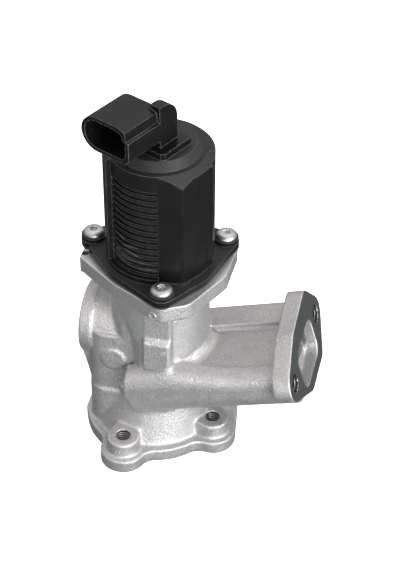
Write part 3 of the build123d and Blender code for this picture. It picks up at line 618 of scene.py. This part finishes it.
def cast_additions():
    """Disc on the flat side, chamfered pad on the neck and the duct's full front."""
    bm = bmesh.new()
    angles = [2 * math.pi * k / 48 for k in range(48)]
    disc = [(DISC_X + DISC_R * math.cos(a), DISC_Z + DISC_R * math.sin(a)) for a in angles]
    add_prism(bm, [[(x, y, z) for x, z in disc] for y in (DISC_BACK, DISC_FACE)])
    add_prism(bm, [rectangle(PAD_X, PAD_RIGHT, PAD_ROOT, PAD_LOW - 1, PAD_HIGH),
                   rectangle(PAD_X, PAD_RIGHT, PAD_BACK, PAD_LOW - 1, PAD_HIGH),
                   rectangle(PAD_X, PAD_RIGHT - PAD_CHAMFER * 0.7, PAD_FACE,
                             PAD_LOW, PAD_HIGH - PAD_CHAMFER)])
    add_prism(bm, [[(x, y, lip_height(x) + dz) for y, dz in section] for x, section in FRONT])
    bmesh.ops.recalc_face_normals(bm, faces=bm.faces)
    bmesh.ops.scale(bm, verts=bm.verts, vec=(MM, MM, MM))
    return bm


def skin_of(bm):
    """Mesh of one closed voxel skin over everything in the bmesh, which is freed."""
    rough_mesh = bpy.data.meshes.new("casting_rough")
    bm.to_mesh(rough_mesh)
    bm.free()
    rough = bpy.data.objects.new("casting_rough", rough_mesh)
    bpy.context.scene.collection.objects.link(rough)
    remesh = rough.modifiers.new("skin", "REMESH")
    remesh.mode = "VOXEL"
    remesh.voxel_size = VOXEL * MM
    depsgraph = bpy.context.evaluated_depsgraph_get()
    mesh = bpy.data.meshes.new_from_object(rough.evaluated_get(depsgraph), depsgraph=depsgraph)
    bpy.data.objects.remove(rough)
    return mesh


def relax(points, pairs, weight, rounds):
    """Moves each point toward the middle of its neighbours by its weight, a number of times."""
    count = len(points)
    degree = np.maximum(np.bincount(pairs.ravel(), minlength=count), 1)[:, None]
    for _ in range(rounds):
        total = np.zeros_like(points)
        for axis in range(3):
            total[:, axis] = np.bincount(pairs[:, 0], points[pairs[:, 1], axis], count)
            total[:, axis] += np.bincount(pairs[:, 1], points[pairs[:, 0], axis], count)
        points += weight[:, None] * (total / degree - points)
    return points


def machined_planes(points):
    """Each machined face as (outward, level, its own points), and the depth under the nearest."""
    flush = VOXEL * 0.55
    planes = [(np.array(DUCT_OUT), DUCT_FACE + DUCT_ORIGIN.dot(DUCT_OUT)),
              (np.array((0, 0, -1.0)), 0.0), (np.array((-1.0, 0, 0)), PORT_END)]
    near = np.full(len(points), 9.0)
    flats = []
    for out, level in planes:
        depth = level - points @ out
        near = np.minimum(near, depth)
        flats.append((out, level, depth < flush))
    depth = FLANGE_TOP - points[:, 2]
    under = depth > -0.3
    near = np.minimum(near, np.where(under, depth, 9.0))
    flats.append((np.array((0, 0, 1.0)), FLANGE_TOP, (depth < flush) & under))
    for x, y in BASE_HOLES:
        gap = np.hypot(points[:, 0] - x, points[:, 1] - y) - THREAD_R
        near = np.minimum(near, np.where(points[:, 2] < BOSS_TOP + 1, np.abs(gap), 9.0))
    return flats, near


def duct_front(points):
    """1 on the duct's front, between the body and the flange, fading to 0 round it."""
    along = points @ np.array(DUCT_OUT) - DUCT_ORIGIN.dot(DUCT_OUT)
    up = points @ np.array(DUCT_UP) - DUCT_ORIGIN.dot(DUCT_UP)
    front = ease(-points[:, 1], 19.5, 23.0) * ease(along, -10.0, -6.0)
    front *= ease(63.0 - along, 0.0, 3.0)
    front *= ease(up, -18.5, -14.0) * ease(13.0 - up, 0.0, 3.5)
    return front


def make_casting():
    """One skin over the CAD body and its cast details: cast edges round, machined faces flat."""
    bm = cast_additions()
    bm.from_mesh(nodes["valve_housing"].data)
    mesh = skin_of(bm)
    points = np.empty(len(mesh.vertices) * 3)
    mesh.vertices.foreach_get("co", points)
    points = points.reshape(-1, 3) / MM
    pairs = np.empty(len(mesh.edges) * 2, dtype=np.int64)
    mesh.edges.foreach_get("vertices", pairs)
    pairs = pairs.reshape(-1, 2)

    flats, near = machined_planes(points)
    cast = ease(near, 0.4, 2.0)
    points = relax(points, pairs, np.full(len(points), 0.3), 2)
    points = relax(points, pairs, 0.55 * cast, 7)
    points = relax(points, pairs, 0.6 * duct_front(points) * cast, 60)
    for out, level, chosen in flats:
        points[chosen] += np.outer(level - points[chosen] @ out, out)

    mesh.vertices.foreach_set("co", (points * MM).ravel())
    mesh.update()
    body = bpy.data.objects.new("valve_body_casting", mesh)
    bpy.context.scene.collection.objects.link(body)
    mesh.materials.clear()
    mesh.materials.append(MATERIALS["cast_aluminium"])
    mesh.polygons.foreach_set("use_smooth", np.ones(len(mesh.polygons), dtype=bool))
    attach(body, "housing")
    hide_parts("valve_housing")
    return body


casting = make_casting()


# --- Threads ------------------------------------------------------------------------------------
PITCH = 1.25
BASE_RISE, BASE_THREAD_END = 0.34, 0.8
DUCT_RISE, DUCT_THREAD_END = 0.36, 0.9

for index, (hx, hy) in enumerate(BASE_HOLES, 1):
    bm = bmesh.new()
    add_thread(bm, Matrix.Translation((hx, hy, BOSS_TOP)), THREAD_R, BOSS_TOP - BASE_THREAD_END,
               PITCH, BASE_RISE, BOSS_TOP - 2 * BASE_THREAD_END)
    make_piece(f"base_thread_ridges_{index}", bm, "seat_steel", smooth=False)

for index, (p, q) in enumerate(DUCT_HOLES, 1):
    bm = bmesh.new()
    add_thread(bm, basis(duct_point(p, q), DUCT_OUT, (0, 1, 0)), DUCT_HOLE_R,
               DUCT_HOLE_DEPTH - DUCT_THREAD_END, PITCH, DUCT_RISE,
               DUCT_HOLE_DEPTH - 2 * DUCT_THREAD_END)
    make_piece(f"duct_thread_ridges_{index}", bm, "seat_steel", smooth=False)


# --- Screws -------------------------------------------------------------------------------------
SHANK_R, SHANK_LENGTH, SHANK_TIP = 2.42, 13.3, 0.7
HEAD_R, HEAD_EDGE, HEAD_RISE, HEAD_FLAT = 5.0, 0.62, 2.05, 2.0
# six-lobe recess: radius and depth under the head's top
RECESS = ((1.78, 0.0), (1.62, 0.14), (1.5, 0.4), (1.5, 1.5), (1.2, 1.62), (0.0, 1.7))
LOBES, LOBE_DEPTH = 6, 0.135


def add_screw(bm, x, y):
    """Button-head screw: flat rim, domed head and a six-lobe recess."""
    tip = SCREW_SEAT - SHANK_LENGTH
    outside = [(0.0, tip), (1.7, tip), (SHANK_R, tip + SHANK_TIP), (SHANK_R, SCREW_SEAT),
               (HEAD_R - 0.25, SCREW_SEAT), (HEAD_R, SCREW_SEAT + 0.12),
               (HEAD_R, SCREW_SEAT + HEAD_EDGE)]
    for k in range(1, 9):
        bend = k / 8 * math.pi / 2
        outside.append((HEAD_R - (HEAD_R - HEAD_FLAT) * (1 - math.cos(bend)),
                        SCREW_SEAT + HEAD_EDGE + HEAD_RISE * math.sin(bend)))
    top = outside[-1][1]

    def lobed(ring, angle, radius):
        if ring < len(outside) or radius == 0.0:
            return radius
        return radius * (1 + LOBE_DEPTH * math.cos(LOBES * angle))

    profile = outside + [(radius, top - depth) for radius, depth in RECESS]
    add_lathe(bm, profile, 72, Matrix.Translation((x, y, 0)), lobed)


bm = bmesh.new()
for x, y in SCREWS:
    add_screw(bm, x, y)
bmesh.ops.remove_doubles(bm, verts=bm.verts, dist=0.001)
screws = make_piece("actuator_screw_set", bm, "screw_zinc")
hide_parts("actuator_screws")


# --- Springs ------------------------------------------------------------------------------------
# node, joint that shortens it, mean radius, wire radius and turns
SPRINGS = (("return_spring", "valve_lift", 5.2, 0.55, 6),
           ("sensor_spring", "sensor_follow", 3.1, 0.3, 5))


def add_spring(bm, mean, wire, turns, low, high, steps=28, section=10):
    """Compression spring of round wire between two heights, its end turns closed down."""
    total = turns * steps
    rings = []
    for k in range(total + 1):
        t = k / total
        angle = 2 * math.pi * turns * t
        rise = 0.35 * float(ease(np.array(t), 0.0, 1.0)) + 0.65 * t
        z = low + wire + (high - low - 2 * wire) * rise
        bends = [2 * math.pi * j / section for j in range(section)]
        rings.append(add_loop(bm, [on_circle(mean + wire * math.cos(b), angle,
                                             z + wire * math.sin(b)) for b in bends]))
    bridge(bm, rings, capped=True)


for node, joint, mean, wire, turns in SPRINGS:
    low, high = (corner.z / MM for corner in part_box(node))
    bm = bmesh.new()
    add_spring(bm, mean, wire, turns, low, high)
    spring = make_piece(f"{node}_coil", bm, "spring_steel")
    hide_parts(node)
    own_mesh(spring)


# --- Stage, light and camera --------------------------------------------------------------------
FLOOR_HALF = 3.0  # metres


def floor_material():
    """White card that glows a little, so that it stays white in the valve's shadow."""
    g = Graph("floor_card")
    tone = g.ramp(g.noise(9, 3.0), [(0.3, (0.93, 0.93, 0.93)), (0.7, (0.96, 0.96, 0.96))])
    return g.finish(tone, g.spread(g.noise(40), 0.85, 0.95), None,
                    Emission_Color=(1, 1, 1, 1), Emission_Strength=0.9)


bm = bmesh.new()
bmesh.ops.create_grid(bm, x_segments=8, y_segments=8, size=FLOOR_HALF)
mesh = bpy.data.meshes.new("studio_floor")
bm.to_mesh(mesh)
bm.free()
floor = bpy.data.objects.new("studio_floor", mesh)
bpy.context.scene.collection.objects.link(floor)
mesh.materials.append(floor_material())
floor.visible_glossy = False

# name, place in metres, side in metres, watts and colour
SOFTBOXES = (
    ("top_softbox", (0.05, 0.2, 0.9), 0.8, 1.2, (1.0, 0.99, 0.98)),
    ("right_softbox", (0.75, -0.40, 0.45), 0.5, 5.2, (1.0, 0.98, 0.965)),
    ("right_low_softbox", (0.72, -0.75, 0.12), 0.5, 10.2, (1.0, 0.992, 0.988)),
    ("front_low_softbox", (0.1, -0.95, 0.12), 0.6, 1.5, (0.97, 0.98, 1.0)),
    ("front_right_softbox", (0.5, -0.85, 0.35), 0.6, 2.0, (1.0, 0.99, 0.98)),
)
LIT_POINT = Vector((0.01, 0, 0.09))


def add_softbox(name, place, size, power, colour):
    """Square area light that looks at the middle of the valve."""
    data = bpy.data.lights.new(name, "AREA")
    data.shape = "RECTANGLE"
    data.size = data.size_y = size
    data.energy = power
    data.color = colour
    lamp = bpy.data.objects.new(name, data)
    bpy.context.scene.collection.objects.link(lamp)
    turned = (LIT_POINT - Vector(place)).to_track_quat("-Z", "Y").to_matrix().to_4x4()
    lamp.matrix_world = Matrix.Translation(place) @ turned


for softbox in SOFTBOXES:
    add_softbox(*softbox)

# world light by height, from underfoot (0) to overhead (1), and the card seen behind the valve
SKY = ((0.30, (0.10, 0.105, 0.10, 1)), (0.52, (0.28, 0.285, 0.28, 1)),
       (0.85, (0.95, 0.94, 0.92, 1)))
BACKDROP = (0.97, 0.97, 0.97, 1)


def add_world():
    world = bpy.data.worlds.new("studio")
    bpy.context.scene.world = world
    world.use_nodes = True
    tree = world.node_tree
    tree.nodes.clear()
    kinds = ("OutputWorld", "MixShader", "Background", "Background", "LightPath", "TexCoord",
             "SeparateXYZ", "ValToRGB", "MapRange")
    out, mix, seen, light, path, coord, split, ramp, fit = (
        tree.nodes.new("ShaderNode" + kind) for kind in kinds)
    fit.inputs["From Min"].default_value = -1.0
    seen.inputs[0].default_value = BACKDROP
    stops = ramp.color_ramp.elements
    stops.new(0.5)
    for stop, (position, colour) in zip(stops, SKY):
        stop.position, stop.color = position, colour
    for source, target in ((coord.outputs["Generated"], split.inputs[0]),
                           (split.outputs[2], fit.inputs["Value"]),
                           (fit.outputs[0], ramp.inputs[0]),
                           (ramp.outputs[0], light.inputs[0]),
                           (path.outputs["Is Camera Ray"], mix.inputs[0]),
                           (light.outputs[0], mix.inputs[1]),
                           (seen.outputs[0], mix.inputs[2]),
                           (mix.outputs[0], out.inputs[0])):
        tree.links.new(source, target)


add_world()

# camera: turned from the front about the valve axis, raised, and rolled a little
TURN, RAISE, ROLL = rad(13.4), rad(39.2), rad(0.31)
DISTANCE = 740.0
AIM_RIGHT, AIM_UP = 18.33, 82.4
PIXELS_WIDE, PIXELS_HIGH, FOCAL_PIXELS = 400, 570, 1586
SENSOR_HEIGHT = 36.0

right = Vector((math.cos(TURN), math.sin(TURN), 0))
ahead = Vector((-math.sin(TURN), math.cos(TURN), 0))
view = ahead * math.cos(RAISE) - Vector((0, 0, 1)) * math.sin(RAISE)
above = right.cross(view)
spot = (right * AIM_RIGHT + Vector((0, 0, AIM_UP)) - view * DISTANCE) * MM
side = right * math.cos(ROLL) + above * math.sin(ROLL)
top = -right * math.sin(ROLL) + above * math.cos(ROLL)
camera_data = bpy.data.cameras.new("photo_camera")
camera_data.sensor_fit = "VERTICAL"
camera_data.sensor_height = SENSOR_HEIGHT
camera_data.lens = FOCAL_PIXELS * SENSOR_HEIGHT / PIXELS_HIGH
camera_data.clip_start, camera_data.clip_end = 0.01, 20.0
camera = bpy.data.objects.new("photo_camera", camera_data)
bpy.context.scene.collection.objects.link(camera)
camera.matrix_world = Matrix([[side[i], top[i], -view[i], spot[i]] for i in range(3)]
                             + [[0, 0, 0, 1]])
bpy.context.scene.camera = camera
bpy.context.scene.view_settings.view_transform = "Standard"


# --- Ejector marks ------------------------------------------------------------------------------
# name, place in the picture in pixels, radius of the ring and of its bead
MARKS = (("pad_ring", 163.0, 354.0, 0.95, 0.16),
         ("boss_ring", 117.5, 453.0, 1.1, 0.18),
         ("flange_ring", 152.5, 316.0, 1.9, 0.3))


def seen_on(obj, px, py):
    """Point of obj seen at a place of the picture, in millimetres, and its normal."""
    flat_x = (px - PIXELS_WIDE / 2) / FOCAL_PIXELS
    flat_y = (PIXELS_HIGH / 2 - py) / FOCAL_PIXELS
    ray = (view + side * flat_x + top * flat_y).normalized()
    tree = BVHTree.FromObject(obj, bpy.context.evaluated_depsgraph_get())
    point, normal, _, _ = tree.ray_cast(spot, ray)
    return point / MM, normal


def add_ring(bm, place, radius, wire, count=32, section=8):
    """Low round bead lying on the local XY plane."""
    bends = [2 * math.pi * j / section for j in range(section)]
    rings = []
    for k in range(count):
        angle = 2 * math.pi * k / count
        points = [on_circle(radius + wire * math.cos(b), angle, wire * math.sin(b) * 0.8)
                  for b in bends]
        rings.append(add_loop(bm, points, place))
    bridge(bm, rings + rings[:1])


for name, px, py, radius, wire in MARKS:
    point, normal = seen_on(casting, px, py)
    bm = bmesh.new()
    add_ring(bm, basis(point, normal, (1.0, 0.1, 0.05)), radius, wire)
    make_piece(name, bm, "cast_aluminium")

bpy.context.view_layer.update()
